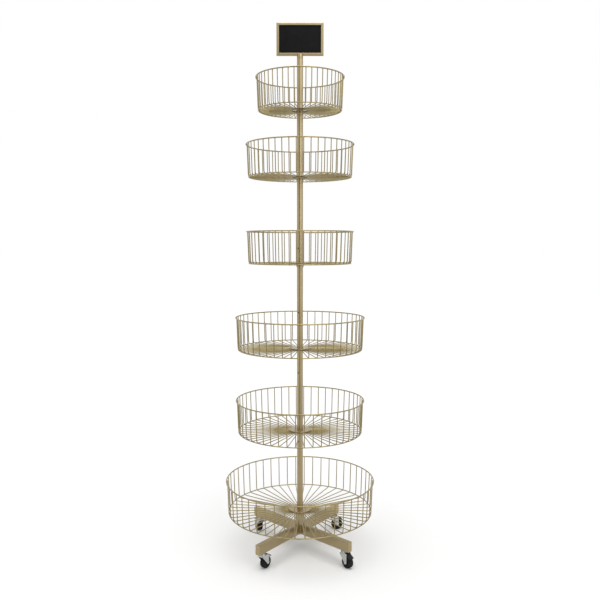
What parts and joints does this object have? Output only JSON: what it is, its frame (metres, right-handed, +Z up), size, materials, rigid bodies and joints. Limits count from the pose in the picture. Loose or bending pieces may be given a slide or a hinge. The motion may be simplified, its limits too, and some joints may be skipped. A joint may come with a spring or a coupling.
{
  "type": "wire basket stand",
  "caption": "Display stand with round wire baskets that turn on one pole and widen towards the floor, a framed sign on top and a cross base on braked swivel casters.",
  "frame": {"origin": "on the floor, straight under the pole", "axes": "+X to the right and +Y to the back as seen in front of the sign, +Z up along the pole"},
  "size_m": [0.504, 0.504, 1.7595],
  "materials": {
    "gold_coat": "satin champagne gold powder coat on steel",
    "zinc_plate": "bright zinc plated steel",
    "black_panel": "matt black writing board",
    "black_rubber": "matt black rubber",
    "black_plastic": "moulded black plastic"
  },
  "bodies": {
    "stand": {"base_long_bar": "gold_coat", "base_half_bar_right": "gold_coat", "base_half_bar_left": "gold_coat", "arm_end_caps": "gold_coat", "base_socket": "gold_coat", "pole": "gold_coat", "pole_foot_plug": "zinc_plate", "pole_bolt": "zinc_plate", "stop_collars": "gold_coat", "grub_screws": "zinc_plate", "sign_frame": "gold_coat", "sign_panel": "black_panel", "sign_holder": "gold_coat", "caster_stems": "zinc_plate", "stem_nuts": "zinc_plate"},
    "basket_1": {"basket_1_wires": "gold_coat", "basket_1_rim_ring": "gold_coat", "basket_1_floor_ring": "gold_coat", "basket_1_hub": "gold_coat"},
    "basket_2": {"basket_2_wires": "gold_coat", "basket_2_rim_ring": "gold_coat", "basket_2_floor_ring": "gold_coat", "basket_2_hub": "gold_coat"},
    "basket_3": {"basket_3_wires": "gold_coat", "basket_3_rim_ring": "gold_coat", "basket_3_floor_ring": "gold_coat", "basket_3_hub": "gold_coat"},
    "basket_4": {"basket_4_wires": "gold_coat", "basket_4_rim_ring": "gold_coat", "basket_4_floor_ring": "gold_coat", "basket_4_hub": "gold_coat"},
    "basket_5": {"basket_5_wires": "gold_coat", "basket_5_rim_ring": "gold_coat", "basket_5_floor_ring": "gold_coat", "basket_5_hub": "gold_coat"},
    "basket_6": {"basket_6_wires": "gold_coat", "basket_6_rim_ring": "gold_coat", "basket_6_floor_ring": "gold_coat", "basket_6_hub": "gold_coat"},
    "caster_front_left_swivel": {"caster_front_left_fork": "zinc_plate", "caster_front_left_axle": "zinc_plate"},
    "caster_front_left_wheel": {"caster_front_left_tyre": "black_rubber", "caster_front_left_core": "black_plastic"},
    "caster_front_left_brake": {"caster_front_left_pedal": "black_plastic"},
    "caster_front_right_swivel": {"caster_front_right_fork": "zinc_plate", "caster_front_right_axle": "zinc_plate"},
    "caster_front_right_wheel": {"caster_front_right_tyre": "black_rubber", "caster_front_right_core": "black_plastic"},
    "caster_front_right_brake": {"caster_front_right_pedal": "black_plastic"},
    "caster_back_left_swivel": {"caster_back_left_fork": "zinc_plate", "caster_back_left_axle": "zinc_plate"},
    "caster_back_left_wheel": {"caster_back_left_tyre": "black_rubber", "caster_back_left_core": "black_plastic"},
    "caster_back_left_brake": {"caster_back_left_pedal": "black_plastic"},
    "caster_back_right_swivel": {"caster_back_right_fork": "zinc_plate", "caster_back_right_axle": "zinc_plate"},
    "caster_back_right_wheel": {"caster_back_right_tyre": "black_rubber", "caster_back_right_core": "black_plastic"},
    "caster_back_right_brake": {"caster_back_right_pedal": "black_plastic"}
  },
  "joints": [
    {"name": "basket_1_turn", "type": "hinge", "parent": "stand", "child": "basket_1", "pos_m": [0, 0, 1.479], "axis": [0, 0, 1], "continuous": true},
    {"name": "basket_2_turn", "type": "hinge", "parent": "stand", "child": "basket_2", "pos_m": [0, 0, 1.26294], "axis": [0, 0, 1], "continuous": true},
    {"name": "basket_3_turn", "type": "hinge", "parent": "stand", "child": "basket_3", "pos_m": [0, 0, 0.97897], "axis": [0, 0, 1], "continuous": true},
    {"name": "basket_4_turn", "type": "hinge", "parent": "stand", "child": "basket_4", "pos_m": [0, 0, 0.69299], "axis": [0, 0, 1], "continuous": true},
    {"name": "basket_5_turn", "type": "hinge", "parent": "stand", "child": "basket_5", "pos_m": [0, 0, 0.41305], "axis": [0, 0, 1], "continuous": true},
    {"name": "basket_6_turn", "type": "hinge", "parent": "stand", "child": "basket_6", "pos_m": [0, 0, 0.137], "axis": [0, 0, 1], "continuous": true},
    {"name": "caster_front_left_turn", "type": "hinge", "parent": "stand", "child": "caster_front_left_swivel", "pos_m": [-0.12053, -0.15708, 0.043], "axis": [0, 0, 1], "continuous": true},
    {"name": "caster_front_left_roll", "type": "hinge", "parent": "caster_front_left_swivel", "child": "caster_front_left_wheel", "pos_m": [-0.11172, -0.14495, 0.02], "axis": [-0.809, 0.5878, 0], "continuous": true},
    {"name": "caster_front_left_press", "type": "hinge", "parent": "caster_front_left_swivel", "child": "caster_front_left_brake", "pos_m": [-0.11172, -0.14495, 0.0455], "axis": [-0.809, 0.5878, 0], "range_deg": [-19, 0]},
    {"name": "caster_front_right_turn", "type": "hinge", "parent": "stand", "child": "caster_front_right_swivel", "pos_m": [0.14362, -0.13629, 0.043], "axis": [0, 0, 1], "continuous": true},
    {"name": "caster_front_right_roll", "type": "hinge", "parent": "caster_front_right_swivel", "child": "caster_front_right_wheel", "pos_m": [0.15366, -0.14744, 0.02], "axis": [0.7431, 0.6691, 0], "continuous": true},
    {"name": "caster_front_right_press", "type": "hinge", "parent": "caster_front_right_swivel", "child": "caster_front_right_brake", "pos_m": [0.15366, -0.14744, 0.0455], "axis": [0.7431, 0.6691, 0], "range_deg": [-19, 0]},
    {"name": "caster_back_left_turn", "type": "hinge", "parent": "stand", "child": "caster_back_left_swivel", "pos_m": [-0.14362, 0.13629, 0.043], "axis": [0, 0, 1], "continuous": true},
    {"name": "caster_back_left_roll", "type": "hinge", "parent": "caster_back_left_swivel", "child": "caster_back_left_wheel", "pos_m": [-0.15067, 0.14954, 0.02], "axis": [-0.8829, -0.4695, 0], "continuous": true},
    {"name": "caster_back_left_press", "type": "hinge", "parent": "caster_back_left_swivel", "child": "caster_back_left_brake", "pos_m": [-0.15067, 0.14954, 0.0455], "axis": [-0.8829, -0.4695, 0], "range_deg": [-19, 0]},
    {"name": "caster_back_right_turn", "type": "hinge", "parent": "stand", "child": "caster_back_right_swivel", "pos_m": [0.12053, 0.15708, 0.043], "axis": [0, 0, 1], "continuous": true},
    {"name": "caster_back_right_roll", "type": "hinge", "parent": "caster_back_right_swivel", "child": "caster_back_right_wheel", "pos_m": [0.13521, 0.1602, 0.02], "axis": [-0.2079, 0.9781, 0], "continuous": true},
    {"name": "caster_back_right_press", "type": "hinge", "parent": "caster_back_right_swivel", "child": "caster_back_right_brake", "pos_m": [0.13521, 0.1602, 0.0455], "axis": [-0.2079, 0.9781, 0], "range_deg": [-19, 0]}
  ]
}
